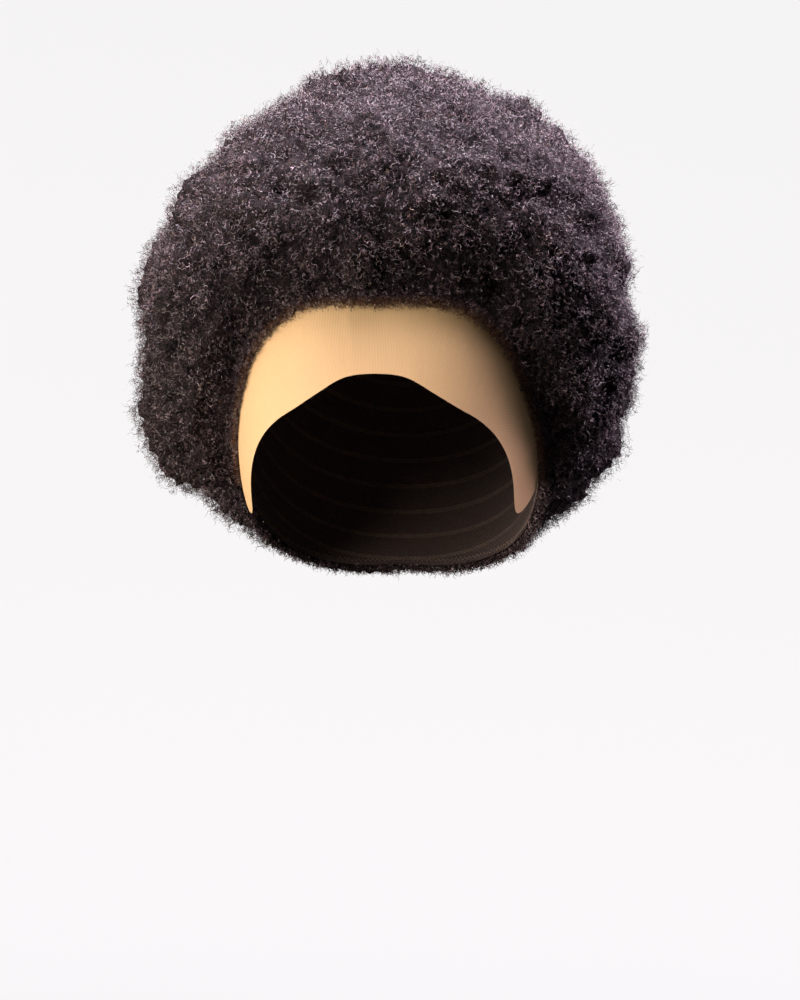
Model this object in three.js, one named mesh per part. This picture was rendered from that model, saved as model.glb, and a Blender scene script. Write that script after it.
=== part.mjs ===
// Afro wig: a ball of tight curls on a stretch cap, with a sheer lace front that runs down to
// a pointed tab at each ear. Millimetres, +Z up, the face looks along -Y.
// The origin is the inside of the crown, where the top of the head sits.
import * as THREE from "three";

// The head that the cap is sewn for. Its girth, at the brow, is 545 mm.
const headWidth = 156;
const headLength = 190;
const crownHeight = 100; // from the girth up to the crown
const napeDepth = 95; // from the girth down to where the head would close
const headSquareness = 2.5; // 2 is an ellipsoid, more is squarer
const openingTilt = 48; // degrees that the opening for face and neck looks down from level

// Walls and clearances.
const capWall = 1.2;
const laceWall = 1.0;
const seamGap = 0.5; // between the cap and the lace, edge to edge
const rootGap = 0.9; // between the cap and the roots of the hair

// The hair.
const hairDepth = 85; // over the crown, and the other depths are shares of it
const rimDepth = 4; // at the hairline
const rimRounding = 46; // width of the rounded edge, measured along the head
const lockCount = 120;
const lockRise = 6;
const lockSpread = 15; // degrees from a lock's middle to its foot

// Outlines seen along the opening's axis, in degrees, the same on both sides. around is 0 at
// the forehead, 90 at the ear and 180 at the nape. The others run out from the back of the crown.
// seam is the cap's front edge, where the lace is sewn on, and hairline the hair's edge.
const outlineRows = [
  { around: 0, seam: 41, hairline: 97, laceEdge: 119 },
  { around: 10, seam: 42, hairline: 96, laceEdge: 119.5 },
  { around: 20, seam: 44, hairline: 95, laceEdge: 122.5 },
  { around: 30, seam: 49, hairline: 96, laceEdge: 124.5 },
  { around: 40, seam: 56, hairline: 98, laceEdge: 125 },
  { around: 50, seam: 64, hairline: 101, laceEdge: 126 },
  { around: 60, seam: 73, hairline: 104.5, laceEdge: 128 },
  { around: 70, seam: 82, hairline: 106.5, laceEdge: 131 },
  { around: 80, seam: 91, hairline: 108, laceEdge: 134 },
  { around: 88, seam: 98, hairline: 109, laceEdge: 134 },
  { around: 93, seam: 102, hairline: 109.5, laceEdge: 129 },
  { around: 99, seam: 107, hairline: 109.5, laceEdge: 113 },
  { around: 105, seam: 108.5, hairline: 108.5, laceEdge: 108.5 },
  { around: 128, seam: 106, hairline: 106, laceEdge: 106 },
  { around: 150, seam: 100, hairline: 100, laceEdge: 100 },
  { around: 180, seam: 95, hairline: 95, laceEdge: 95 },
];
const laceEndAngle = 99; // around, behind the ear

// Depth of the hair beyond the head, as shares of hairDepth, for each elevation in degrees.
const depthRows = [
  { elevation: -60, front: 0.2, right: 0.04, back: 0.1, left: 0.06 },
  { elevation: -45, front: 0.3, right: 0.05, back: 0.15, left: 0.12 },
  { elevation: -30, front: 0.4, right: 0.12, back: 0.38, left: 0.27 },
  { elevation: -15, front: 0.48, right: 0.38, back: 0.6, left: 0.48 },
  { elevation: 0, front: 0.52, right: 0.54, back: 0.7, left: 0.63 },
  { elevation: 15, front: 0.54, right: 0.6, back: 0.76, left: 0.66 },
  { elevation: 30, front: 0.58, right: 0.66, back: 0.8, left: 0.73 },
  { elevation: 45, front: 0.64, right: 0.79, back: 0.85, left: 0.76 },
  { elevation: 60, front: 0.74, right: 0.87, back: 0.9, left: 0.82 },
  { elevation: 75, front: 0.88, right: 0.93, back: 0.96, left: 0.92 },
  { elevation: 90, front: 1, right: 1, back: 1, left: 1 },
];

// The largest bulges and dents: bearing is 0 at the front, 90 at the right and 270 at the left,
// spread is the width in degrees and rise a share of hairDepth.
const bulgeRows = [
  { bearing: 92, elevation: 17, spread: 9, rise: 0.05 },
  { bearing: 92, elevation: 2, spread: 9, rise: -0.06 },
  { bearing: 95, elevation: -10, spread: 9, rise: 0.03 },
  { bearing: 268, elevation: -8, spread: 11, rise: 0.1 },
  { bearing: 270, elevation: 33, spread: 16, rise: 0.03 },
  { bearing: 270, elevation: 73, spread: 7, rise: -0.03 },
  { bearing: 280, elevation: 81, spread: 9, rise: 0.03 },
  { bearing: 90, elevation: 73, spread: 6, rise: -0.03 },
  { bearing: 80, elevation: 64, spread: 9, rise: 0.03 },
];

// How finely each piece is divided.
const hairSpokes = 84;
const hairOuterRings = 34;
const hairInnerRings = 13;
const capSpokes = 60;
const capRings = 10;
const laceColumns = 66;
const laceRows = 5;

const rad = THREE.MathUtils.degToRad;
const headCentre = new THREE.Vector3(0, 0, -crownHeight);
const backOfCrown = new THREE.Vector3(0, Math.cos(rad(openingTilt)), Math.sin(rad(openingTilt)));
const towardsForehead = new THREE.Vector3(0, -Math.sin(rad(openingTilt)), Math.cos(rad(openingTilt)));
const towardsRight = new THREE.Vector3(1, 0, 0);

// Unit direction from the head's centre, at angles in degrees round and out from the crown's back.
function directionAt(around, fromCrown) {
  const a = rad(around);
  const t = rad(fromCrown);
  return backOfCrown
    .clone()
    .multiplyScalar(Math.cos(t))
    .addScaledVector(towardsForehead, Math.sin(t) * Math.cos(a))
    .addScaledVector(towardsRight, Math.sin(t) * Math.sin(a));
}

function headRadius(direction) {
  const half = direction.z > 0 ? crownHeight : napeDepth;
  const sum =
    Math.abs((2 * direction.x) / headWidth) ** headSquareness +
    Math.abs((2 * direction.y) / headLength) ** headSquareness +
    Math.abs(direction.z / half) ** headSquareness;
  return sum ** (-1 / headSquareness);
}

// Reads a column of a table between its rows, with a smooth curve through the rows' values.
function readTable(rows, key, column, at) {
  const last = rows.length - 1;
  const x = THREE.MathUtils.clamp(at, rows[0][key], rows[last][key]);
  let i = 0;
  while (i < last - 1 && rows[i + 1][key] < x) i += 1;
  const [a, b] = [rows[i], rows[i + 1]];
  const before = rows[Math.max(i - 1, 0)];
  const after = rows[Math.min(i + 2, last)];
  const span = b[key] - a[key];
  const slopeA = (b[column] - before[column]) / (b[key] - before[key]);
  const slopeB = (after[column] - a[column]) / (after[key] - a[key]);
  const s = (x - a[key]) / span;
  const rest = 1 - s;
  return (
    a[column] * (1 + 2 * s) * rest * rest +
    b[column] * (1 + 2 * rest) * s * s +
    slopeA * span * s * rest * rest -
    slopeB * span * rest * s * s
  );
}

function outline(column, around) {
  const turned = THREE.MathUtils.euclideanModulo(around + 180, 360) - 180;
  return readTable(outlineRows, "around", column, Math.abs(turned));
}

// Degrees that a length in millimetres takes up on the head there.
function degreesAlongHead(length, around, fromCrown) {
  return THREE.MathUtils.radToDeg(length / headRadius(directionAt(around, fromCrown)));
}

// The locks' middles, spread evenly over a sphere along a spiral.
const goldenTurn = 180 * (3 - Math.sqrt(5));
const lockMiddles = Array.from({ length: lockCount }, (_, i) => {
  const height = 1 - (2 * (i + 0.5)) / lockCount;
  return new THREE.Vector3().setFromSphericalCoords(1, Math.acos(height), rad(goldenTurn * i));
});

// A rounded lock stands highest over its middle and meets the next ones in a groove.
function lockHeight(direction) {
  const nearest = Math.min(...lockMiddles.map((middle) => middle.angleTo(direction)));
  const share = Math.min(nearest / rad(lockSpread), 1);
  return lockRise * (Math.cos(share * Math.PI) / 2);
}

function bulgeHeight(direction) {
  return bulgeRows.reduce((sum, row) => {
    const level = Math.cos(rad(row.elevation));
    const middle = new THREE.Vector3(
      Math.sin(rad(row.bearing)) * level,
      -Math.cos(rad(row.bearing)) * level,
      Math.sin(rad(row.elevation)),
    );
    const distance = middle.angleTo(direction) / rad(row.spread);
    return sum + row.rise * hairDepth * Math.exp(-distance * distance);
  }, 0);
}

// Depth of the hair beyond the head, blended between the four sides of depthRows.
function fullDepth(direction) {
  const elevation = THREE.MathUtils.radToDeg(Math.asin(direction.z));
  const level = Math.hypot(direction.x, direction.y) || 1;
  const sideShare = (direction.x / level) ** 2;
  const across = readTable(depthRows, "elevation", direction.x > 0 ? "right" : "left", elevation);
  const along = readTable(depthRows, "elevation", direction.y > 0 ? "back" : "front", elevation);
  return hairDepth * (across * sideShare + along * (1 - sideShare)) + bulgeHeight(direction);
}

const rootLift = Math.max(capWall, laceWall) + rootGap;

// The hair's outer side rises in a quarter round from the hairline to its full depth.
function hairLift(around, fromCrown) {
  const direction = directionAt(around, fromCrown);
  const toRim = rad(outline("hairline", around) - fromCrown) * headRadius(direction);
  const share = Math.min(Math.max(toRim, 0) / rimRounding, 1);
  const rounding = Math.sqrt(1 - (1 - share) ** 2);
  const shoulder = (fullDepth(direction) + lockHeight(direction) - rimDepth) * rounding;
  return Math.max(rootLift + rimDepth, rimDepth + shoulder);
}

function pointAt(around, fromCrown, lift) {
  const direction = directionAt(around, fromCrown);
  return direction.multiplyScalar(headRadius(direction) + lift).add(headCentre);
}

function geometryOf(points, faces) {
  const geometry = new THREE.BufferGeometry().setFromPoints(points);
  geometry.setIndex(faces.flat());
  geometry.computeVertexNormals();
  return geometry;
}

// A closed wall from the crown's back out to edge(around): an outer and an inner skin of rings
// round the pole, joined at the rim. lift gives each skin's height over the head.
function domeGeometry({ spokes, edge, outer, inner }) {
  const points = [];
  const faces = [];
  const skins = [outer, inner].map(({ rings, lift }, side) => {
    const pole = points.push(pointAt(0, 0, lift(0, 0))) - 1;
    const first = points.length;
    for (let ring = 1; ring <= rings; ring += 1) {
      for (let spoke = 0; spoke < spokes; spoke += 1) {
        const around = (360 * spoke) / spokes;
        const fromCrown = (edge(around) * ring) / rings;
        points.push(pointAt(around, fromCrown, lift(around, fromCrown)));
      }
    }
    const at = (ring, spoke) => first + (ring - 1) * spokes + (spoke % spokes);
    const add = (a, b, c) => faces.push(side ? [a, c, b] : [a, b, c]);
    for (let spoke = 0; spoke < spokes; spoke += 1) {
      add(pole, at(1, spoke), at(1, spoke + 1));
      for (let ring = 1; ring < rings; ring += 1) {
        add(at(ring, spoke), at(ring + 1, spoke), at(ring + 1, spoke + 1));
        add(at(ring, spoke), at(ring + 1, spoke + 1), at(ring, spoke + 1));
      }
    }
    return (spoke) => at(rings, spoke);
  });
  const [outerRim, innerRim] = skins;
  for (let spoke = 0; spoke < spokes; spoke += 1) {
    faces.push([outerRim(spoke), innerRim(spoke), innerRim(spoke + 1)]);
    faces.push([outerRim(spoke), innerRim(spoke + 1), outerRim(spoke + 1)]);
  }
  return geometryOf(points, faces);
}

// A closed strip of cloth on the head, wall thick, between two edges and two ends.
function stripGeometry({ from, to, columns, rows, top, bottom, wall }) {
  const points = [];
  const faces = [];
  for (const lift of [wall, 0]) {
    for (let row = 0; row <= rows; row += 1) {
      for (let column = 0; column <= columns; column += 1) {
        const around = from + ((to - from) * column) / columns;
        const start = top(around);
        const fromCrown = start + ((bottom(around) - start) * row) / rows;
        points.push(pointAt(around, fromCrown, lift));
      }
    }
  }
  const layer = (columns + 1) * (rows + 1);
  const at = (side, row, column) => side * layer + row * (columns + 1) + column;
  const quad = (a, b, c, d) => faces.push([a, b, c], [a, c, d]);
  for (let row = 0; row < rows; row += 1) {
    for (let column = 0; column < columns; column += 1) {
      const corners = [
        [row, column],
        [row + 1, column],
        [row + 1, column + 1],
        [row, column + 1],
      ];
      quad(...corners.map(([r, c]) => at(0, r, c)));
      quad(...corners.reverse().map(([r, c]) => at(1, r, c)));
    }
    quad(at(0, row + 1, 0), at(0, row, 0), at(1, row, 0), at(1, row + 1, 0));
    quad(at(0, row, columns), at(0, row + 1, columns), at(1, row + 1, columns), at(1, row, columns));
  }
  for (let column = 0; column < columns; column += 1) {
    quad(at(0, 0, column), at(0, 0, column + 1), at(1, 0, column + 1), at(1, 0, column));
    quad(at(0, rows, column + 1), at(0, rows, column), at(1, rows, column), at(1, rows, column + 1));
  }
  return geometryOf(points, faces);
}

function namedMesh(name, geometry, color, roughness) {
  const mesh = new THREE.Mesh(geometry, new THREE.MeshStandardMaterial({ color, roughness, metalness: 0 }));
  mesh.name = name;
  return mesh;
}

function makeHair() {
  const geometry = domeGeometry({
    spokes: hairSpokes,
    edge: (around) => outline("hairline", around),
    outer: { rings: hairOuterRings, lift: hairLift },
    inner: { rings: hairInnerRings, lift: () => rootLift },
  });
  return namedMesh("hair", geometry, 0x241c1e, 0.6);
}

function makeCap() {
  const geometry = domeGeometry({
    spokes: capSpokes,
    edge: (around) => outline("seam", around),
    outer: { rings: capRings, lift: () => capWall },
    inner: { rings: capRings, lift: () => 0 },
  });
  return namedMesh("wig_cap", geometry, 0x2b2422, 0.9);
}

function makeLaceFront() {
  const geometry = stripGeometry({
    from: -laceEndAngle,
    to: laceEndAngle,
    columns: laceColumns,
    rows: laceRows,
    top: (around) => outline("seam", around) + degreesAlongHead(seamGap, around, outline("seam", around)),
    bottom: (around) => outline("laceEdge", around),
    wall: laceWall,
  });
  return namedMesh("lace_front", geometry, 0xc9a583, 0.85);
}

const wig = new THREE.Group();
wig.add(makeHair(), makeCap(), makeLaceFront());

export default wig;
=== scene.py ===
# An afro wig: tight curls on a stretch cap with a sheer lace front. Sizes are in metres.
import math

import bmesh
import bpy
import numpy as np
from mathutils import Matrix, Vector, noise
from mathutils.bvhtree import BVHTree


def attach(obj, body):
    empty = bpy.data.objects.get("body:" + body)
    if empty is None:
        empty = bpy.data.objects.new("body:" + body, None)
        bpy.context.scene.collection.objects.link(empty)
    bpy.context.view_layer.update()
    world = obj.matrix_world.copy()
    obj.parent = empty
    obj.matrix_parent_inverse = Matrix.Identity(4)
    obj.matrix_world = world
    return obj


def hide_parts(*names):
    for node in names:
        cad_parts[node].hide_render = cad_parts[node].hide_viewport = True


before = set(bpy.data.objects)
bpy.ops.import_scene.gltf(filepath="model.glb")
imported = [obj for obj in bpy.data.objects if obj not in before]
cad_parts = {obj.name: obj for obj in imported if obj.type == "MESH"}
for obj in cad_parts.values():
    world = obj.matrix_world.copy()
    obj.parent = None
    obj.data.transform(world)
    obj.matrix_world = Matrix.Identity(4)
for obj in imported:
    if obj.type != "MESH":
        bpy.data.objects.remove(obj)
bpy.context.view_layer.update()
print("stage: frame loaded")

scene = bpy.context.scene
mm = 0.001
weldReach = 0.01 * mm
dice = np.random.default_rng(27)

head = {
    "centre": np.array([0, 0, -100 * mm]),
    "radius": 95 * mm,  # a mean, used to lay the nets out in real sizes
    "openingTilt": 48,  # degrees that the opening for the face looks down from level
}
tilt = math.radians(head["openingTilt"])
backOfCrown = np.array([0, math.cos(tilt), math.sin(tilt)])
towardsForehead = np.array([0, -math.sin(tilt), math.cos(tilt)])


def unit(vectors):
    return vectors / np.maximum(np.linalg.norm(vectors, axis=-1, keepdims=True), 1e-12)


# Angle round from the forehead, and angle out from the back of the crown, in radians.
def headAngles(points):
    away = unit(points - head["centre"])
    around = np.arctan2(away[:, 0], away @ towardsForehead)
    return around, np.arccos(np.clip(away @ backOfCrown, -1, 1))


# A solid of the frame with its faces joined and split into triangles.
def weldedNode(name):
    work = bmesh.new()
    work.from_mesh(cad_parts[name].data)
    bmesh.ops.remove_doubles(work, verts=work.verts, dist=weldReach)
    bmesh.ops.triangulate(work, faces=work.faces)
    work.normal_update()
    return work


def meshArrays(work):
    work.verts.index_update()
    points = np.array([v.co for v in work.verts])
    normals = np.array([v.normal for v in work.verts])
    faces = np.array([[v.index for v in f.verts] for f in work.faces])
    return points, normals, faces


# Each triangle's corners, its normal at twice its area's length, and its middle.
def triangleParts(points, faces):
    corners = points[faces]
    cross = np.cross(corners[:, 1] - corners[:, 0], corners[:, 2] - corners[:, 0])
    return corners, cross, corners.mean(axis=1)


def surfaceTree(*names):
    points, faces = [], []
    for name in names:
        work = weldedNode(name)
        p, _, f = meshArrays(work)
        work.free()
        faces += (f + len(points)).tolist()
        points += p.tolist()
    return BVHTree.FromPolygons(points, faces)


def objectFrom(name, mesh, material, node):
    obj = bpy.data.objects.new(name, mesh)
    scene.collection.objects.link(obj)
    mesh.materials.clear()
    mesh.materials.append(material)
    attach(obj, "root")
    if node:
        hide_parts(node)
    return obj


def newMaterial(name, **sockets):
    material = bpy.data.materials.new(name)
    material.use_nodes = True
    tree = material.node_tree
    shader = tree.nodes["Principled BSDF"]
    for socket, value in sockets.items():
        shader.inputs[socket.replace("_", " ")].default_value = value
    return material, tree, shader


def addNode(tree, kind, **settings):
    node = tree.nodes.new(kind)
    for key, value in settings.items():
        if hasattr(node, key):
            setattr(node, key, value)
        else:
            node.inputs[key.replace("_", " ")].default_value = value
    return node


def addRamp(tree, positions, first, last):
    ramp = addNode(tree, "ShaderNodeValToRGB")
    for stop, position, colour in zip(ramp.color_ramp.elements, positions, (first, last)):
        stop.position = position
        stop.color = colour
    return ramp


def darker(colour, share):
    return [value * share for value in colour[:3]] + [1]


curlLook = {
    "roughness": 0.37,
    "sheen": 0.05,
    "sheenTint": (0.95, 0.74, 0.88, 1),
    "specular": 0.62,
    "patches": 45.0,  # patches of tone to the metre
    "patchTones": (0.6, 1.5),
}


def curlMaterial():
    material, tree, shader = newMaterial(
        "coilyHair",
        Roughness=curlLook["roughness"],
        Sheen_Weight=curlLook["sheen"],
        Sheen_Tint=curlLook["sheenTint"],
        Specular_IOR_Level=curlLook["specular"],
    )
    # The attribute holds each coil's colour with painted shade and light: darker towards the roots,
    # and for loose curls darker deep down and lighter on tufts.
    tint = addNode(tree, "ShaderNodeAttribute", attribute_name="hairTintShadeAndLight")
    patches = addNode(tree, "ShaderNodeTexNoise", Scale=curlLook["patches"], Detail=3.0)
    coords = addNode(tree, "ShaderNodeTexCoord")
    low, high = curlLook["patchTones"]
    spread = addNode(tree, "ShaderNodeMapRange", To_Min=low, To_Max=high)
    tone = addNode(tree, "ShaderNodeVectorMath", operation="SCALE")
    tree.links.new(coords.outputs["Object"], patches.inputs["Vector"])
    tree.links.new(patches.outputs["Fac"], spread.inputs["Value"])
    tree.links.new(tint.outputs["Color"], tone.inputs[0])
    tree.links.new(spread.outputs["Result"], tone.inputs["Scale"])
    tree.links.new(tone.outputs["Vector"], shader.inputs["Base Color"])
    return material


massLook = {
    "roughness": 0.6,
    "specular": 0.15,
    # painted shade: the near-black between the strands stands in for the shade deep in the hair
    "gap": (0.0015, 0.001, 0.001, 1),
    "strand": (0.068, 0.041, 0.045, 1),
    "layers": [460.0, 840.0],  # strands to the metre, in a coarse and a fine layer
    "strandWidth": 0.16,
    "bends": 330.0,  # to the metre
    "bendReach": 0.0045,
    "fades": 620.0,  # where strands sink into the painted shade, to the metre
    "shows": (0.28, 0.6),  # from hidden to in full sight
    "relief": 0.0008,
}


# Thin winding lines on near-black painted shade, like the strands that show between the loose
# curls.
def massMaterial():
    material, tree, shader = newMaterial(
        "packedHair", Roughness=massLook["roughness"], Specular_IOR_Level=massLook["specular"]
    )
    link = tree.links.new
    coords = addNode(tree, "ShaderNodeTexCoord")
    bend = addNode(tree, "ShaderNodeTexNoise", Scale=massLook["bends"], Detail=2.0)
    shift = addNode(tree, "ShaderNodeVectorMath", operation="SCALE", Scale=massLook["bendReach"])
    warped = addNode(tree, "ShaderNodeVectorMath", operation="ADD")
    link(coords.outputs["Object"], bend.inputs["Vector"])
    link(bend.outputs["Color"], shift.inputs[0])
    link(coords.outputs["Object"], warped.inputs[0])
    link(shift.outputs["Vector"], warped.inputs[1])
    lines = []
    for scale in massLook["layers"]:
        cells = addNode(tree, "ShaderNodeTexVoronoi", feature="DISTANCE_TO_EDGE", Scale=scale)
        line = addNode(
            tree, "ShaderNodeMapRange", From_Max=massLook["strandWidth"], To_Min=1.0, To_Max=0.0
        )
        link(warped.outputs["Vector"], cells.inputs["Vector"])
        link(cells.outputs["Distance"], line.inputs["Value"])
        lines.append(line)
    both = addNode(tree, "ShaderNodeMath", operation="MAXIMUM")
    link(lines[0].outputs["Result"], both.inputs[0])
    link(lines[1].outputs["Result"], both.inputs[1])
    fade = addNode(tree, "ShaderNodeTexNoise", Scale=massLook["fades"], Detail=1.0)
    shown = addNode(tree, "ShaderNodeMath", operation="MULTIPLY")
    link(coords.outputs["Object"], fade.inputs["Vector"])
    link(both.outputs["Value"], shown.inputs[0])
    link(fade.outputs["Fac"], shown.inputs[1])
    # painted shade where no strand shows, hair colour on the strands
    colour = addRamp(tree, massLook["shows"], massLook["gap"], massLook["strand"])
    bump = addNode(tree, "ShaderNodeBump", Strength=0.9, Distance=massLook["relief"])
    link(shown.outputs["Value"], colour.inputs["Fac"])
    link(colour.outputs["Color"], shader.inputs["Base Color"])
    link(shown.outputs["Value"], bump.inputs["Height"])
    link(bump.outputs["Normal"], shader.inputs["Normal"])
    return material


laceLook = {
    "roughness": 0.6,
    "sheen": 0.08,
    "specular": 0.25,
    "thread": (0.88, 0.58, 0.285, 1),
    "cell": 0.0008,  # from thread to thread
    "cellShape": 1.2,  # length over width
    "threadShare": 0.34,
    "cover": (0.7, 0.95),  # how much hides behind the fine mesh and behind a thread
    "streaks": 420.0,  # of tone, to the metre
    "streakShape": 0.12,  # width over length
    "streakTone": 0.965,
    "streakStops": (0.3, 0.75),
    "relief": 0.0002,
}


def laceMaterial():
    material, tree, shader = newMaterial(
        "sheerLace",
        Roughness=laceLook["roughness"],
        Sheen_Weight=laceLook["sheen"],
        Specular_IOR_Level=laceLook["specular"],
    )
    uv = addNode(tree, "ShaderNodeUVMap", uv_map="cloth")
    turned = addNode(tree, "ShaderNodeMapping", Rotation=(0, 0, math.pi / 2))
    net = addNode(
        tree,
        "ShaderNodeTexBrick",
        offset=0.5,
        Color1=(0, 0, 0, 1),
        Color2=(0, 0, 0, 1),
        Mortar=(1, 1, 1, 1),
        Scale=1.0,
        Mortar_Size=laceLook["cell"] * laceLook["threadShare"] / 2,
        Mortar_Smooth=0.4,
        Brick_Width=laceLook["cell"] * laceLook["cellShape"],
        Row_Height=laceLook["cell"],
    )
    drawn = addNode(tree, "ShaderNodeMapping", Scale=(1.0, laceLook["streakShape"], 1.0))
    tone = addNode(tree, "ShaderNodeTexNoise", Scale=laceLook["streaks"], Detail=2.0)
    deep = darker(laceLook["thread"], laceLook["streakTone"])
    colour = addRamp(tree, laceLook["streakStops"], deep, laceLook["thread"])
    low, high = laceLook["cover"]
    cover = addNode(tree, "ShaderNodeMapRange", To_Min=low, To_Max=high)
    bump = addNode(tree, "ShaderNodeBump", Strength=0.5, Distance=laceLook["relief"])
    link = tree.links.new
    link(uv.outputs["UV"], turned.inputs["Vector"])
    link(turned.outputs["Vector"], net.inputs["Vector"])
    link(uv.outputs["UV"], drawn.inputs["Vector"])
    link(drawn.outputs["Vector"], tone.inputs["Vector"])
    link(tone.outputs["Fac"], colour.inputs["Fac"])
    link(colour.outputs["Color"], shader.inputs["Base Color"])
    link(net.outputs["Color"], cover.inputs["Value"])
    link(cover.outputs["Result"], shader.inputs["Alpha"])
    link(net.outputs["Color"], bump.inputs["Height"])
    link(bump.outputs["Normal"], shader.inputs["Normal"])
    return material


capLook = {
    "roughness": 0.85,
    "sheen": 0.08,
    "specular": 0.15,
    "yarn": (0.062, 0.040, 0.034, 1),
    "gap": (0.010, 0.007, 0.006, 1),
    "weft": (0.115, 0.078, 0.062, 1),  # the tape that each row of hair is sewn on
    "rib": 0.0020,  # a stitch's width in the knit
    "course": 0.0014,  # and its height
    "groove": 0.0002,
    "weftEvery": 0.014,
    "weftWidth": 0.0026,
    "weftEdge": (0.4, 0.5),  # where the tape rounds off, as shares of its width
    "relief": 0.0007,
}


def capMaterial():
    material, tree, shader = newMaterial(
        "stretchKnit",
        Roughness=capLook["roughness"],
        Sheen_Weight=capLook["sheen"],
        Specular_IOR_Level=capLook["specular"],
    )
    uv = addNode(tree, "ShaderNodeUVMap", uv_map="cloth")
    knit = addNode(
        tree,
        "ShaderNodeTexBrick",
        offset=0.5,
        Color1=(1, 1, 1, 1),
        Color2=(0.8, 0.8, 0.8, 1),
        Mortar=(0, 0, 0, 1),
        Scale=1.0,
        Mortar_Size=capLook["groove"],
        Mortar_Smooth=1.0,
        Brick_Width=capLook["rib"],
        Row_Height=capLook["course"],
    )
    split = addNode(tree, "ShaderNodeSeparateXYZ")
    track = addNode(tree, "ShaderNodeMath", operation="PINGPONG")
    track.inputs[1].default_value = capLook["weftEvery"] / 2
    flat, end = [capLook["weftWidth"] * share for share in capLook["weftEdge"]]
    raised = addNode(
        tree,
        "ShaderNodeMapRange",
        interpolation_type="SMOOTHSTEP",
        From_Min=flat,
        From_Max=end,
        To_Min=1.0,
        To_Max=0.0,
    )
    height = addNode(tree, "ShaderNodeMath", operation="ADD")
    yarn = addNode(tree, "ShaderNodeMixRGB", Color1=capLook["yarn"], Color2=capLook["weft"])
    colour = addNode(tree, "ShaderNodeMixRGB", Color1=capLook["gap"])
    bump = addNode(tree, "ShaderNodeBump", Strength=0.9, Distance=capLook["relief"])
    link = tree.links.new
    link(uv.outputs["UV"], knit.inputs["Vector"])
    link(uv.outputs["UV"], split.inputs["Vector"])
    link(split.outputs["Y"], track.inputs[0])
    link(track.outputs["Value"], raised.inputs["Value"])
    link(knit.outputs["Color"], height.inputs[0])
    link(raised.outputs["Result"], height.inputs[1])
    link(raised.outputs["Result"], yarn.inputs["Fac"])
    link(knit.outputs["Color"], colour.inputs["Fac"])
    link(yarn.outputs["Color"], colour.inputs["Color2"])
    link(colour.outputs["Color"], shader.inputs["Base Color"])
    link(height.outputs["Value"], bump.inputs["Height"])
    link(bump.outputs["Normal"], shader.inputs["Normal"])
    return material


threadLook = {
    "roughness": 0.7,
    "sheen": 0.2,
    "twists": 1500.0,  # to the metre
    "twistTone": 0.6,
    "seam": (0.3, 0.2, 0.13, 1),
    "hem": (0.17, 0.11, 0.085, 1),
}


def threadMaterial(name, tint):
    material, tree, shader = newMaterial(
        name, Roughness=threadLook["roughness"], Sheen_Weight=threadLook["sheen"]
    )
    coords = addNode(tree, "ShaderNodeTexCoord")
    twist = addNode(tree, "ShaderNodeTexNoise", Scale=threadLook["twists"], Detail=1.0)
    colour = addRamp(tree, (0, 1), darker(tint, threadLook["twistTone"]), tint)
    tree.links.new(coords.outputs["Object"], twist.inputs["Vector"])
    tree.links.new(twist.outputs["Fac"], colour.inputs["Fac"])
    tree.links.new(colour.outputs["Color"], shader.inputs["Base Color"])
    return material


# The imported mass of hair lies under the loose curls.
massOfHair = {
    "innerReach": 2.5 * mm,  # hair this close to the cap is the mass's inner side
    "innerFade": 2 * mm,
    "inset": 4.2 * mm,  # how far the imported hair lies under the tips
    "insetShare": 0.4,  # the same near the hairline, as a share of the hair's depth
    "fluff": 1.1 * mm,  # how uneven its surface is
    "tuftSize": 15 * mm,
    "tuftRise": 5.0 * mm,
    "knotSize": 6.5 * mm,
    "knotRise": 5.0 * mm,
    "knotShift": (7.1, 3.3, 1.9),  # moves the knots' pattern off the tufts'
    "calmRim": 12 * mm,  # tufts fade out where the hair is thinner than this
    "follow": 0.9,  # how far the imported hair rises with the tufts
    "cuts": 2,  # that split each edge of the solid
    "smoothings": 3,  # rounds
    "clumps": [  # where the hair stands out further or lies lower, and how far
        {"place": (0.017, 0.02, 0.085), "rise": 5.0 * mm, "reach": 32 * mm},
        {"place": (-0.058, 0.02, 0.066), "rise": 4.4 * mm, "reach": 30 * mm},
        {"place": (-0.120, 0.02, -0.006), "rise": 2.4 * mm, "reach": 20 * mm},
        {"place": (-0.123, 0.01, -0.110), "rise": 4.6 * mm, "reach": 34 * mm},
        {"place": (0.115, 0.03, 0.010), "rise": 3.0 * mm, "reach": 24 * mm},
        {"place": (0.121, 0.02, -0.096), "rise": -3.0 * mm, "reach": 18 * mm},
        {"place": (0.124, 0.02, -0.038), "rise": -2.4 * mm, "reach": 14 * mm},
    ],
}


# How far the hair's surface rises at a place, or sinks.
def tuftLift(point):
    wide = noise.noise(Vector(point) / massOfHair["tuftSize"])
    small = noise.noise(Vector(point) / massOfHair["knotSize"] + Vector(massOfHair["knotShift"]))
    lift = massOfHair["tuftRise"] * wide + massOfHair["knotRise"] * small
    for clump in massOfHair["clumps"]:
        away = (Vector(point) - Vector(clump["place"])).length / clump["reach"]
        lift += clump["rise"] * math.exp(-(away**2))
    return lift


capTree = surfaceTree("wig_cap", "lace_front")


def depthOf(points):
    return np.array([capTree.find_nearest(p)[3] for p in points])


# The hair's solid with finer faces, but for its inner side, which keeps its own.
def envelope():
    work = weldedNode("hair")
    work.verts.ensure_lookup_table()
    near = depthOf([v.co for v in work.verts]) < massOfHair["innerReach"]
    inner = {f for f in work.faces if all(near[v.index] for v in f.verts)}
    edges = [e for e in work.edges if any(f not in inner for f in e.link_faces)]
    still = {v for f in inner for v in f.verts}
    bmesh.ops.subdivide_edges(work, edges=edges, cuts=massOfHair["cuts"], use_grid_fill=True)
    bmesh.ops.triangulate(work, faces=work.faces)
    loose = [v for v in work.verts if v not in still]
    for _ in range(massOfHair["smoothings"]):
        bmesh.ops.smooth_vert(work, verts=loose, factor=0.5)
    work.normal_update()
    return work


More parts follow.
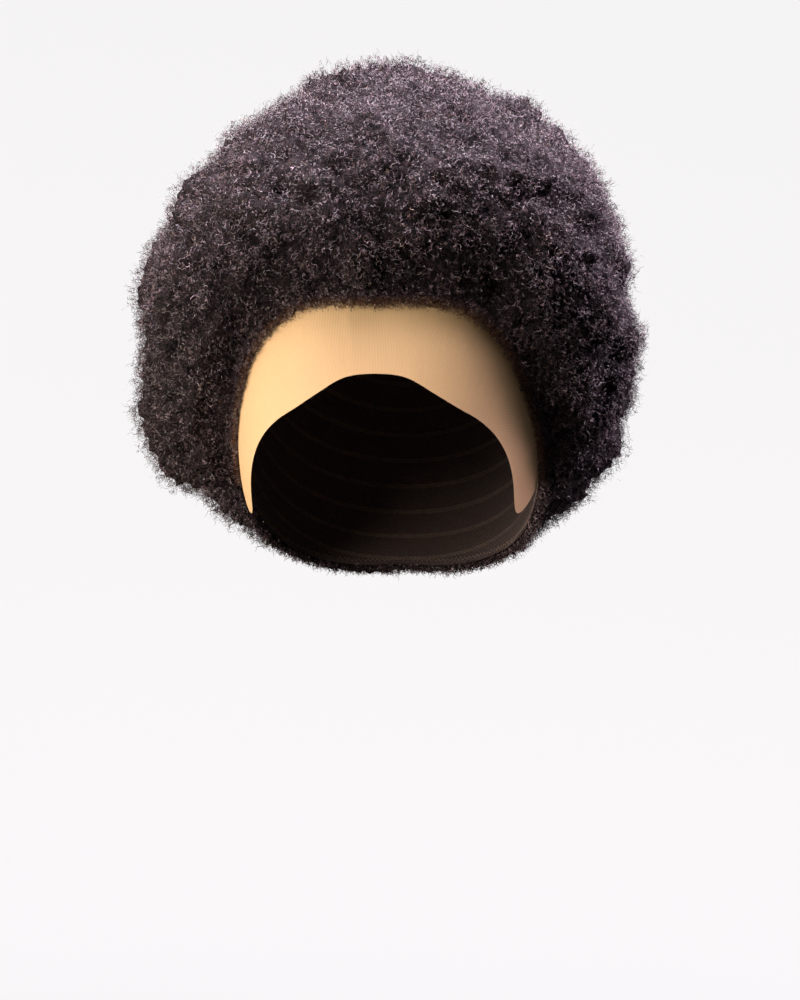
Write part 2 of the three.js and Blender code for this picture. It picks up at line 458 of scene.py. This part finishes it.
shell = envelope()
shellPoints, shellNormals, shellFaces = meshArrays(shell)
shellDepth = depthOf(shellPoints)
shellLift = np.array([tuftLift(p) for p in shellPoints])
shellLift *= np.clip(shellDepth / massOfHair["calmRim"], 0, 1)
outerShare = np.clip((shellDepth - massOfHair["innerReach"]) / massOfHair["innerFade"], 0, 1)
print("stage: hair envelope", len(shellFaces), "faces")


def packedMass():
    inset = np.minimum(massOfHair["inset"], massOfHair["insetShare"] * shellDepth)
    fluff = dice.normal(0, massOfHair["fluff"], len(shellPoints))
    push = (massOfHair["follow"] * shellLift - inset + fluff) * outerShare
    mesh = bpy.data.meshes.new("hair_mass")
    shell.to_mesh(mesh)
    moved = shellPoints + shellNormals * push[:, None]
    mesh.vertices.foreach_set("co", moved.astype(np.float32).ravel())
    mesh.update()
    mesh.shade_smooth()
    return objectFrom("hair_mass", mesh, massMaterial(), "hair")


packedMass()
print("stage: packed hair")

curls = {
    "count": 60000,
    "height": 3.0 * mm,
    "heightSpread": (0.7, 1.3),
    "radius": (0.4 * mm, 0.92 * mm),
    "turns": (0.95, 1.85),
    "width": 0.34 * mm,  # of a strand's flat side
    "widthSpread": (0.7, 1.25),
    "fullDepth": 14 * mm,  # curls are shorter and tighter where the hair is thinner
    "shortest": 0.5,
    "tightest": 0.6,
    "under": 2.9 * mm,  # how far a curl's end may lie under the outline
    "underBias": 1.3,  # above 1, more curls end near the outline
    "deepest": 0.62,  # how deep a root may lie, as a share of the hair's depth
    "upright": (0.1, 1.1),  # how much a curl points out of the hair
    "lean": 0.8,  # how far a tuft's curls lean the same way
    "leanSize": (22 * mm, 7 * mm),  # of a lock, and of a tuft
    "leanShares": (0.7, 1.0),
    "leanShift": (2.7, 9.1, 4.4),  # moves the tufts' pattern off the locks'
    "stray": 0.75,
    "proud": 1.1 * mm,  # the curls' mean height over the outline
    "ragged": 0.9 * mm,  # how unevenly they end
    "flyaways": 0.16,
    "flyawayLength": 2.0,
    "flyawayWidth": 0.65,
    "flyawayRoot": 0.6,  # how deep it starts, as a share of a plain curl's depth
    "rimTurn": -0.4,  # faces turned further in than this lie against the cap
    "front": {"before": 20 * mm, "crowding": 1.15},  # curls stand closer at the front
    "thinHair": {"under": 16 * mm, "crowding": 1.4},  # and where the hair is thin
    "facing": (0.6, 0.4, 0.75),  # strands turned outwards, with the surface, and at random
    "deepShade": 0.6,  # how much darker the deepest curls are
    "tuftShade": 0.3,  # how much lighter a curl is on a tuft that stands this high
    "tuftHeight": 4 * mm,
    "tintSpread": 0.42,
    "tints": [
        {"share": 0.34, "colour": (0.040, 0.021, 0.022)},  # black brown
        {"share": 0.30, "colour": (0.068, 0.036, 0.044)},  # aubergine
        {"share": 0.18, "colour": (0.104, 0.062, 0.070)},  # grey brown
        {"share": 0.08, "colour": (0.110, 0.068, 0.044)},  # warm brown
        {"share": 0.10, "colour": (0.175, 0.118, 0.138)},  # painted highlight: strands that catch the light
    ],
    "pieces": ["front", "right_front", "right_back", "back", "left_back", "left_front"],
    "topPieces": ["top_front", "top_back"],
    "topFrom": 0.66,  # the sine of the angle above level
}


# A direction that turns smoothly from place to place. Each axis reads its own part of the noise.
def noiseWay(place):
    apart = 31.7
    return Vector([noise.noise(place + Vector((0, 0, apart * axis))) for axis in range(3)])


def leanAt(point):
    lock, tuft = curls["leanSize"]
    lockShare, tuftShare = curls["leanShares"]
    wide = noiseWay(Vector(point) / lock)
    small = noiseWay(Vector(point) / tuft + Vector(curls["leanShift"]))
    return wide * lockShare + small * tuftShare


shellLean = np.array([leanAt(p) for p in shellPoints])


# Random places on the hair's surface, with what the surface is like there.
def scatter(count):
    _, cross, middle = triangleParts(shellPoints, shellFaces)
    front, thin = curls["front"], curls["thinHair"]
    facesOut = (unit(cross) * unit(middle - head["centre"])).sum(axis=1)
    depth = shellDepth[shellFaces].mean(axis=1)
    weight = np.linalg.norm(cross, axis=1) * (facesOut > curls["rimTurn"])
    weight = weight * np.where(middle[:, 1] < front["before"], front["crowding"], 1.0)
    weight = weight * np.where(depth < thin["under"], thin["crowding"], 1.0)
    chosen = dice.choice(len(shellFaces), count, p=weight / weight.sum())
    mix = dice.dirichlet((1, 1, 1), count)
    tri = shellFaces[chosen]

    def blend(values):
        return (values[tri] * (mix[:, :, None] if values.ndim > 1 else mix)).sum(axis=1)

    normal = unit(blend(shellNormals))
    return blend(shellPoints), normal, blend(shellDepth), blend(shellLift), blend(shellLean)


coil = {
    "rings": 7,
    "narrow": 0.5,  # the share of its radius that a coil starts with
    "flare": 0.7,
    "flareRise": 1.25,
    "flareTurn": 0.6 * math.pi,
    "droop": (0.3, 0.6),  # to one side, as a share of the height, and across that
    "taper": 0.6,
    # painted shade: each coil is darker towards its root, where the hair around shades it
    "rootTone": 0.28,
    "toneRise": 0.97,  # from root to tip
    "mapShare": 0.7,  # of a coil's cell in the texture that the coil fills
}


# Flat strands wound into coils, all in one mesh. Each starts at a root and winds along its axis.
def coilMesh(name, root, axis, facing, height, radius, turns, width, tint):
    count, rings = len(root), coil["rings"]
    t = np.linspace(0, 1, rings)[None, :, None]
    side = unit(np.cross(axis, unit(dice.normal(size=(count, 3)))))
    other = np.cross(axis, side)
    hand = dice.choice([-1, 1], count)
    angle = dice.uniform(0, 2 * math.pi, count)[:, None, None] + (
        2 * math.pi * (hand * turns)[:, None, None] * t
    )
    opened = np.clip(t * coil["flareRise"], 0, 1)
    flare = coil["narrow"] + coil["flare"] * np.sin(opened * coil["flareTurn"])
    sag, sway = coil["droop"]
    droop = (side + sway * other)[:, None, :] * (height[:, None, None] * sag) * t**2
    centre = root[:, None, :] + axis[:, None, :] * height[:, None, None] * t + droop
    outward = side[:, None, :] * np.cos(angle) + other[:, None, :] * np.sin(angle)
    path = centre + outward * radius[:, None, None] * flare
    tangent = unit(np.gradient(path, axis=1))
    across = unit(np.cross(tangent, facing[:, None, :]))
    half = (1 - coil["taper"] * t**2) * width[:, None, None] / 2
    points = np.stack([path - across * half, path + across * half], axis=2)
    faces = []
    for ring in range(rings - 1):
        a = 2 * ring
        faces += [(a, a + 2, a + 3), (a, a + 3, a + 1)]
    size = 2 * rings
    allFaces = (np.array(faces)[None] + size * np.arange(count)[:, None, None]).reshape(-1, 3)
    along = np.repeat(np.linspace(0, 1, rings), 2)
    # Painted shade: each coil darkens towards its root.
    tones = tint[:, None, :] * (coil["rootTone"] + coil["toneRise"] * along)[None, :, None]
    mesh = bpy.data.meshes.new(name)
    mesh.vertices.add(count * size)
    mesh.vertices.foreach_set("co", points.astype(np.float32).ravel())
    mesh.loops.add(len(allFaces) * 3)
    mesh.loops.foreach_set("vertex_index", allFaces.astype(np.int32).ravel())
    mesh.polygons.add(len(allFaces))
    mesh.polygons.foreach_set("loop_start", np.arange(0, len(allFaces) * 3, 3, dtype=np.int32))
    mesh.update(calc_edges=True)
    mesh.shade_smooth()
    # each coil's colour with its painted shade and light, as a colour attribute
    paint = mesh.color_attributes.new("hairTintShadeAndLight", "FLOAT_COLOR", "POINT")
    rgba = np.ones((count * size, 4), np.float32)
    rgba[:, :3] = tones.reshape(-1, 3)
    paint.data.foreach_set("color", rgba.ravel())
    # each coil has a cell of its own in the texture
    columns = math.ceil(math.sqrt(count))
    cell = np.stack([np.arange(count) % columns, np.arange(count) // columns], axis=1)
    inside = np.stack([along, np.tile([0.0, 1.0], rings)], axis=1) * coil["mapShare"]
    inside += (1 - coil["mapShare"]) / 2
    places = ((cell[:, None, :] + inside[None]) / columns).reshape(-1, 2)
    layer = mesh.uv_layers.new(name="OFBake")
    layer.data.foreach_set("uv", places[allFaces.ravel()].astype(np.float32).ravel())
    return mesh


def pickTints(count):
    shares = np.array([row["share"] for row in curls["tints"]])
    colours = np.array([row["colour"] for row in curls["tints"]])
    picked = colours[dice.choice(len(colours), count, p=shares / shares.sum())]
    return picked * np.exp(dice.normal(0, curls["tintSpread"], count))[:, None]


# Single curls over the whole surface, split into pieces by the side they stand on.
def looseCurls():
    count = curls["count"]
    tip, normal, depth, lift, lean = scatter(count)
    away = unit(tip - head["centre"])
    wild = unit(dice.normal(size=(count, 3)))
    upright = dice.uniform(*curls["upright"], count)[:, None]
    axis = unit(normal * upright + curls["lean"] * lean + curls["stray"] * wild)
    outward = (axis * normal).sum(axis=1)
    axis = axis + normal * (np.abs(outward) - outward)[:, None]  # none points back into the hair
    short = np.clip(depth / curls["fullDepth"], curls["shortest"], 1)
    height = curls["height"] * dice.uniform(*curls["heightSpread"], count) * short
    flying = dice.random(count) < curls["flyaways"]
    height[flying] *= curls["flyawayLength"]
    under = curls["under"] * dice.random(count) ** curls["underBias"] * short
    under[flying] = 0
    drop = np.minimum(under + np.abs(outward) * height, curls["deepest"] * depth)
    drop[flying] *= curls["flyawayRoot"]
    ragged = dice.normal(0, curls["ragged"], count) * short
    root = tip + normal * (lift + curls["proud"] * short + ragged - drop)[:, None]
    radius = dice.uniform(*curls["radius"], count)
    radius *= curls["tightest"] + (1 - curls["tightest"]) * short
    turns = dice.uniform(*curls["turns"], count)
    width = curls["width"] * dice.uniform(*curls["widthSpread"], count)
    width[flying] *= curls["flyawayWidth"]
    out, along, wildly = curls["facing"]
    facing = unit(out * away + along * normal + wildly * unit(dice.normal(size=(count, 3))))
    # Painted shade and light: curls that lie deep are darker, curls on tufts lighter.
    shade = 1 - curls["deepShade"] * under / curls["under"]
    shade *= 1 + curls["tuftShade"] * np.clip(lift / curls["tuftHeight"], -1, 1)
    tint = pickTints(count) * shade[:, None]
    fromCentre = unit(root - head["centre"])
    sides = len(curls["pieces"])
    side = np.round(np.arctan2(fromCentre[:, 0], -fromCentre[:, 1]) * sides / (2 * math.pi))
    onTop = sides + (fromCentre[:, 1] > 0)
    region = np.where(fromCentre[:, 2] > curls["topFrom"], onTop, side.astype(int) % sides)
    material = curlMaterial()
    for index, name in enumerate(curls["pieces"] + curls["topPieces"]):
        part = region == index
        mesh = coilMesh(
            f"curls_{name}", root[part], axis[part], facing[part], height[part], radius[part],
            turns[part], width[part], tint[part],
        )
        objectFrom(mesh.name, mesh, material, "hair")
        print("stage: curls", name, part.sum(), "coils,", len(mesh.polygons), "faces")
    return material


hairMaterial = looseCurls()

# Fine short hairs stand on the lace along the hairline.
wisps = {
    "tries": 120000,
    "count": 7000,
    "full": 1.8 * mm,  # as thick as the hair itself up to here
    "reach": 9.0 * mm,  # in front of the hairline
    "margin": 4 * mm,  # past the reach, for faces that are only partly in it
    "thickest": 0.75,
    "thinning": 2.0,
    "facesOut": 0.5,  # faces turned further in than this aren't the lace's outer side
    "back": 0.7,  # how far a hair leans towards the hairline
    "stray": 0.55,
    "twist": 0.4,
    "height": 2.8 * mm,
    "heightSpread": (0.6, 1.4),
    "radius": (0.35 * mm, 0.9 * mm),
    "turns": (0.5, 1.1),
    "width": 0.24 * mm,
    "widthSpread": (0.8, 1.2),
    "tint": (0.11, 0.046, 0.022),
    "tintSpread": 0.25,
}


def hairlineWisps():
    work = weldedNode("lace_front")
    points, _, faces = meshArrays(work)
    work.free()
    corners, cross, middle = triangleParts(points, faces)
    outer = (unit(cross) * unit(middle - head["centre"])).sum(axis=1) > wisps["facesOut"]
    hairTree = surfaceTree("hair")
    bareCorner = np.array([hairTree.ray_cast(p, p - head["centre"])[0] is None for p in points])
    gaps = np.array([hairTree.find_nearest(p)[3] for p in middle])
    close = gaps < wisps["reach"] + wisps["margin"]
    weight = np.linalg.norm(cross, axis=1) * outer * close * bareCorner[faces].any(axis=1)
    chosen = dice.choice(len(faces), wisps["tries"], p=weight / weight.sum())
    mix = dice.dirichlet((1, 1, 1), wisps["tries"])
    place = (corners[chosen] * mix[:, :, None]).sum(axis=1)
    up = unit(cross)[chosen]
    away = unit(place - head["centre"])
    found = [hairTree.find_nearest(p) for p in place]
    bare = np.array([hairTree.ray_cast(p, w)[0] is None for p, w in zip(place, away)])
    share = (np.array([f[3] for f in found]) - wisps["full"]) / (wisps["reach"] - wisps["full"])
    chance = wisps["thickest"] * np.clip(1 - share, 0, 1) ** wisps["thinning"]
    keep = bare & (dice.random(len(share)) < chance)
    picks = np.nonzero(keep)[0][: wisps["count"]]
    place, up = place[picks], up[picks]
    back = unit(np.array([found[i][0] for i in picks]) - place)
    count = len(picks)
    axis = unit(up + wisps["back"] * back + wisps["stray"] * dice.normal(size=(count, 3)))
    tint = np.array(wisps["tint"]) * np.exp(dice.normal(0, wisps["tintSpread"], count))[:, None]
    facing = unit(up + wisps["twist"] * dice.normal(size=(count, 3)))
    height = wisps["height"] * dice.uniform(*wisps["heightSpread"], count)
    radius = dice.uniform(*wisps["radius"], count)
    turns = dice.uniform(*wisps["turns"], count)
    width = wisps["width"] * dice.uniform(*wisps["widthSpread"], count)
    mesh = coilMesh(
        "hairline_wisps", place, axis, facing, height, radius, turns, width, tint
    )
    print("stage: hairline", count, "short hairs of", keep.sum(), "places")
    return objectFrom(mesh.name, mesh, hairMaterial, "hair")


hairlineWisps()

# Curls that hang over the hair's edge, all round.
edgeCurls = {
    "count": 5000,
    "thickness": (1.0 * mm, 5.6 * mm),  # out from the inner side of the cap or lace
    "above": 2.5 * mm,
    "out": 0.35,  # how far a curl leans away from the head
    "stray": 0.55,
    "twist": 0.5,
    "height": 3.4 * mm,
    "heightSpread": (0.7, 1.3),
    "radius": (0.4 * mm, 1.0 * mm),
    "turns": (0.6, 1.3),
    "width": 0.34 * mm,
    "widthSpread": (0.8, 1.2),
}


# A node's edge, as angles out from the back of the crown for angles round from the forehead.
def edgeOf(name):
    work = weldedNode(name)
    points, _, _ = meshArrays(work)
    work.free()
    around, out = headAngles(points)
    steps = np.unique(np.round(around, 3))
    window = 0.01  # radians
    return steps, np.array([out[np.abs(around - step) < window].max() for step in steps])


# Unit vectors away from the head's centre, and down along the head, at such angles.
def headWays(around, out):
    around, out = np.atleast_1d(around)[:, None], np.atleast_1d(out)[:, None]
    ring = towardsForehead * np.cos(around) + np.array([1, 0, 0]) * np.sin(around)
    away = backOfCrown * np.cos(out) + ring * np.sin(out)
    return away, ring * np.cos(out) - backOfCrown * np.sin(out)


def hairEdge():
    count = edgeCurls["count"]
    around = dice.uniform(-math.pi, math.pi, count)
    out = np.interp(around, *edgeOf("hair"), period=2 * math.pi)
    away, down = headWays(around, out - dice.uniform(0, edgeCurls["above"], count) / head["radius"])
    centre = Vector(head["centre"])
    wall = np.array([capTree.ray_cast(centre, Vector(w))[3] or np.nan for w in away])
    reach = wall + dice.uniform(*edgeCurls["thickness"], count)
    good = np.isfinite(reach)
    root = (head["centre"] + away * reach[:, None])[good]
    away, down, count = away[good], down[good], good.sum()
    wild = dice.normal(size=(count, 3))
    axis = unit(down + edgeCurls["out"] * away + edgeCurls["stray"] * wild)
    facing = unit(away + edgeCurls["twist"] * dice.normal(size=(count, 3)))
    height = edgeCurls["height"] * dice.uniform(*edgeCurls["heightSpread"], count)
    radius = dice.uniform(*edgeCurls["radius"], count)
    turns = dice.uniform(*edgeCurls["turns"], count)
    width = edgeCurls["width"] * dice.uniform(*edgeCurls["widthSpread"], count)
    mesh = coilMesh(
        "edge_curls", root, axis, facing, height, radius, turns, width, pickTints(count)
    )
    print("stage: hair's edge", count, "curls")
    return objectFrom(mesh.name, mesh, hairMaterial, "hair")


hairEdge()

cloth = {
    "laceSink": 0.5 * mm,  # from the solid wall's outer side to its middle
    "flatLace": (0.36, 0.155),  # cut from a piece of net this wide and long
    "flatTurn": math.radians(30),  # triangles that turn less than this are joined up
    "squareTurn": math.radians(60),
    "laceRounds": 2,  # of smoothing
    "capRounds": 1,
    "outerTurn": 0.5,  # faces turned further in than this aren't the lace's outer side
    "thread": 0.2 * mm,
    "threadOff": 0.8,  # radii that a thread's middle lies off the cloth
    "seamStitch": 2.0 * mm,
    "seamWidth": 2.6 * mm,
    "seamPast": 0.3 * mm,  # the seam's middle past the cap's edge
    "seamEnd": math.radians(98),  # round from the forehead, behind the ear
    "seamToHem": 0.05,  # radians between the two
    "hemStitch": 2.4 * mm,
    "hemWidth": 1.8 * mm,
    "hemInset": 3.6 * mm,
}


# The mesh that a draft object shows; the draft goes.
def bakedMesh(draft, name):
    scene.collection.objects.link(draft)
    bpy.context.view_layer.update()
    shown = draft.evaluated_get(bpy.context.evaluated_depsgraph_get())
    made = bpy.data.meshes.new_from_object(shown)
    bpy.data.objects.remove(draft)
    made.name = name
    made.shade_smooth()
    return made


# Split triangles would smooth into ripples, so they are joined up first.
def smoothed(work, name, rounds):
    bmesh.ops.join_triangles(
        work,
        faces=work.faces,
        angle_face_threshold=cloth["flatTurn"],
        angle_shape_threshold=cloth["squareTurn"],
    )
    mesh = bpy.data.meshes.new(name + "_draft")
    work.to_mesh(mesh)
    work.free()
    draft = bpy.data.objects.new(name + "_draft", mesh)
    modifier = draft.modifiers.new("smooth", "SUBSURF")
    modifier.levels = modifier.render_levels = rounds
    made = bakedMesh(draft, name)
    bpy.data.meshes.remove(mesh)
    return made


# Lays a cloth's own map out in metres: round the head, and down from the crown's back.
def clothMap(mesh):
    points = np.zeros(len(mesh.vertices) * 3)
    mesh.vertices.foreach_get("co", points)
    around, out = headAngles(points.reshape(-1, 3))
    loops = np.zeros(len(mesh.loops), np.int32)
    mesh.loops.foreach_get("vertex_index", loops)
    starts = np.zeros(len(mesh.polygons), np.int32)
    mesh.polygons.foreach_get("loop_start", starts)
    totals = np.zeros(len(mesh.polygons), np.int32)
    mesh.polygons.foreach_get("loop_total", totals)
    first = np.repeat(around[loops[starts]], totals)
    turned = around[loops]
    turned = first + np.mod(turned - first + math.pi, 2 * math.pi) - math.pi
    places = np.stack([turned, out[loops]], axis=1) * head["radius"]
    layer = mesh.uv_layers.new(name="cloth")
    layer.data.foreach_set("uv", places.astype(np.float32).ravel())


# The outer side of the lace's solid wall, sunk to the wall's middle.
def laceFront():
    work = weldedNode("lace_front")
    centre = Vector(head["centre"])
    ways = [(f, (f.calc_center_median() - centre).normalized()) for f in work.faces]
    rest = [f for f, way in ways if f.normal.dot(way) < cloth["outerTurn"]]
    bmesh.ops.delete(work, geom=rest, context="FACES")
    work.normal_update()
    for v in work.verts:
        v.co -= v.normal * cloth["laceSink"]
    mesh = smoothed(work, "lace_front_net", cloth["laceRounds"])
    clothMap(mesh)
    return objectFrom(mesh.name, mesh, laceMaterial(), "lace_front")


lace = laceFront()


def stretchCap():
    work = weldedNode("wig_cap")
    mesh = smoothed(work, "cap_shell", cloth["capRounds"])
    clothMap(mesh)
    return objectFrom(mesh.name, mesh, capMaterial(), "wig_cap")


cap = stretchCap()
print("stage: cap", len(cap.data.polygons), "faces")


def clothTree():
    points, faces = [], []
    for obj in (lace, cap):
        faces += [[i + len(points) for i in p.vertices] for p in obj.data.polygons]
        points += [v.co.copy() for v in obj.data.vertices]
    return BVHTree.FromPolygons(points, faces)


insideTree = clothTree()
capEdge = edgeOf("wig_cap")


# A point on the inner side of the cap or lace, so far down from the cap's edge.
def insideCloth(around, pastEdge):
    out = np.interp(around, *capEdge, period=2 * math.pi) + pastEdge / head["radius"]
    way = Vector(headWays(around, out)[0][0])
    found = insideTree.ray_cast(Vector(head["centre"]), way)[0]
    return found - way * cloth["thread"] * cloth["threadOff"] if found else None


# A zigzag stitch from angle to angle round the cap, with its middle so far past the cap's edge.
def zigzag(name, start, end, stitch, middle, width, material):
    steps = int(abs(end - start) * head["radius"] / (stitch / 2))
    curve = bpy.data.curves.new(name, "CURVE")
    curve.dimensions = "3D"
    curve.bevel_depth = cloth["thread"]
    curve.bevel_resolution = 1
    places = [
        insideCloth(start + (end - start) * i / steps, middle + width * (i % 2 - 0.5))
        for i in range(steps + 1)
    ]
    places = [p for p in places if p]
    spline = curve.splines.new("POLY")
    spline.points.add(len(places) - 1)
    for point, place in zip(spline.points, places):
        point.co = (*place, 1)
    mesh = bakedMesh(bpy.data.objects.new(name + "_draft", curve), name)
    print("stage:", name, len(mesh.polygons), "faces")
    return objectFrom(name, mesh, material, "wig_cap")


seamThread = threadMaterial("seamThread", threadLook["seam"])
hemThread = threadMaterial("hemThread", threadLook["hem"])
zigzag(
    "seam_stitches", -cloth["seamEnd"], cloth["seamEnd"], cloth["seamStitch"],
    cloth["seamPast"], cloth["seamWidth"], seamThread,
)
hemStart = cloth["seamEnd"] + cloth["seamToHem"]
zigzag(
    "hem_stitches", hemStart, 2 * math.pi - hemStart,
    cloth["hemStitch"], -cloth["hemInset"], cloth["hemWidth"], hemThread,
)

studio = {
    "floorHeight": -0.75,
    "wallAway": 3.0,
    "wallHeight": 3.5,
    "cove": 0.8,
    "coveSteps": 12,
    "wallSteps": 96,
    "paper": 0.12,
    "paperRoughness": 0.9,
    "paperGlow": 0.82,
    "frameHeight": 0.520,  # what the photograph's height spans at the wig
    "cameraDistance": 1.6,
    "cameraTurn": 5.0,
    "cameraHeight": -0.140,
    "cameraSide": 0.0042,
    "air": 0.06,
    "airColour": (0.93, 0.93, 0.94, 1),
    "lampsAim": (0, 0, -0.05),
    "lamps": [
        {
            "name": "overhead",
            "place": (-0.05, -0.03, 1.35),
            "size": (1.5, 1.2),
            "power": 107,
            "colour": (1.0, 0.87, 1.0),
        },
        {
            "name": "frontLeft",
            "place": (-1.6, -1.4, 0.2),
            "size": (0.9, 1.2),
            "power": 47,
            "colour": (1.0, 0.92, 0.84),
        },
        {
            "name": "left",
            "place": (-1.85, 0.0, -0.5),
            "size": (0.8, 1.2),
            "power": 42,
            "colour": (1.0, 0.81, 0.70),
        },
        {
            "name": "backRight",
            "place": (1.5, 0.75, 1.0),
            "size": (0.8, 1.2),
            "power": 62,
            "colour": (1.0, 0.79, 0.97),
        },
    ],
}


# Pale paper on the floor, curving up into a wall all round.
def paperSweep():
    low, away, cove = studio["floorHeight"], studio["wallAway"], studio["cove"]
    profile = [(0, low), (away - cove, low)]
    for step in range(1, studio["coveSteps"] + 1):
        turn = math.radians(90 * step / studio["coveSteps"])
        profile.append((away - cove + cove * math.sin(turn), low + cove - cove * math.cos(turn)))
    profile.append((away, studio["wallHeight"]))
    work = bmesh.new()
    verts = [work.verts.new((out, 0, height)) for out, height in profile]
    edges = [work.edges.new(pair) for pair in zip(verts, verts[1:])]
    bmesh.ops.spin(
        work, geom=verts + edges, cent=(0, 0, 0), axis=(0, 0, 1),
        angle=2 * math.pi, steps=studio["wallSteps"],
    )
    bmesh.ops.remove_doubles(work, verts=work.verts, dist=mm)
    mesh = bpy.data.meshes.new("paper_sweep")
    work.to_mesh(mesh)
    work.free()
    mesh.shade_smooth()
    paper = studio["paper"]
    material = newMaterial(
        "palePaper",
        Base_Color=(paper, paper, paper, 1),
        Roughness=studio["paperRoughness"],
        Specular_IOR_Level=0.0,
        Emission_Color=(1, 1, 1, 1),
        Emission_Strength=studio["paperGlow"],
    )[0]
    mesh.materials.append(material)
    sweep = bpy.data.objects.new("paper_sweep", mesh)
    sweep.visible_diffuse = sweep.visible_glossy = False
    scene.collection.objects.link(sweep)


paperSweep()


def softbox(name, place, size, power, colour):
    light = bpy.data.lights.new(name, "AREA")
    light.shape = "RECTANGLE"
    light.size, light.size_y = size
    light.energy = power
    light.color = colour
    lamp = bpy.data.objects.new(name, light)
    lamp.location = place
    lamp.rotation_mode = "QUATERNION"
    lamp.rotation_quaternion = (Vector(studio["lampsAim"]) - Vector(place)).to_track_quat("-Z", "Y")
    scene.collection.objects.link(lamp)


for lamp in studio["lamps"]:
    softbox(**lamp)

world = bpy.data.worlds.new("studioAir")
world.use_nodes = True
world.node_tree.nodes["Background"].inputs["Color"].default_value = studio["airColour"]
world.node_tree.nodes["Background"].inputs["Strength"].default_value = studio["air"]
scene.world = world
scene.view_settings.view_transform = "Standard"

turn = math.radians(studio["cameraTurn"])
rightward = Vector((math.cos(turn), math.sin(turn), 0))
backward = Vector((math.sin(turn), -math.cos(turn), 0))
lens = bpy.data.cameras.new("camera")
lens.sensor_width = 36
lens.lens = lens.sensor_width * studio["cameraDistance"] / studio["frameHeight"]
camera = bpy.data.objects.new("camera", lens)
camera.location = (
    backward * studio["cameraDistance"]
    + rightward * studio["cameraSide"]
    + Vector((0, 0, studio["cameraHeight"]))
)
camera.rotation_mode = "QUATERNION"
camera.rotation_quaternion = (-backward).to_track_quat("-Z", "Y")
scene.collection.objects.link(camera)
scene.camera = camera

print("stage: finished")
